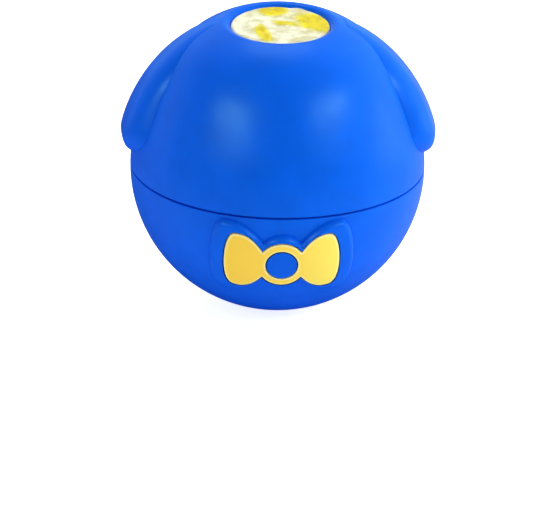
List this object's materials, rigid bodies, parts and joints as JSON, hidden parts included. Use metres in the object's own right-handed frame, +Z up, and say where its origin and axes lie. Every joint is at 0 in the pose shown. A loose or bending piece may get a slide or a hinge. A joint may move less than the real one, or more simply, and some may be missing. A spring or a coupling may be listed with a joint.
{
  "type": "treat dispensing ball",
  "caption": "Two-part rubber treat ball with ear flaps, a bow, a screw-off hood, a lick cup in the top, a lick tray inside and a side treat hole.",
  "frame": {"origin": "centre of the flat under the base that the ball stands on", "axes": "+Z up along the ball's and the thread's axis, the bow on the -Y side, the treat hole on the +Y side, the ears on +X and -X"},
  "size_m": [0.1028, 0.0976, 0.0958],
  "materials": {
    "blue_rubber": "smooth satin moulded rubber, royal blue",
    "deep_blue_rubber": "smooth satin moulded rubber, a little deeper blue",
    "yellow_inlay": "smooth satin, warm yellow"
  },
  "bodies": {
    "base": {"base_shell": "blue_rubber", "lick_tray": "deep_blue_rubber", "bow_inlay": "yellow_inlay"},
    "cup": {"lick_cup": "blue_rubber"},
    "hood": {"hood_shell": "blue_rubber"}
  },
  "joints": [
    {"name": "hood_lift", "type": "slide", "parent": "base", "child": "cup", "axis": [0, 0, 1], "range_m": [0, 0.0441]},
    {"name": "hood_twist", "type": "hinge", "parent": "cup", "child": "hood", "pos_m": [0, 0, 0.0465], "axis": [0, 0, 1], "range_deg": [0, 3600]}
  ],
  "couplings": [
    {"joint": "hood_lift", "follows": "hood_twist", "m_per_rad": 0.00070028}
  ]
}
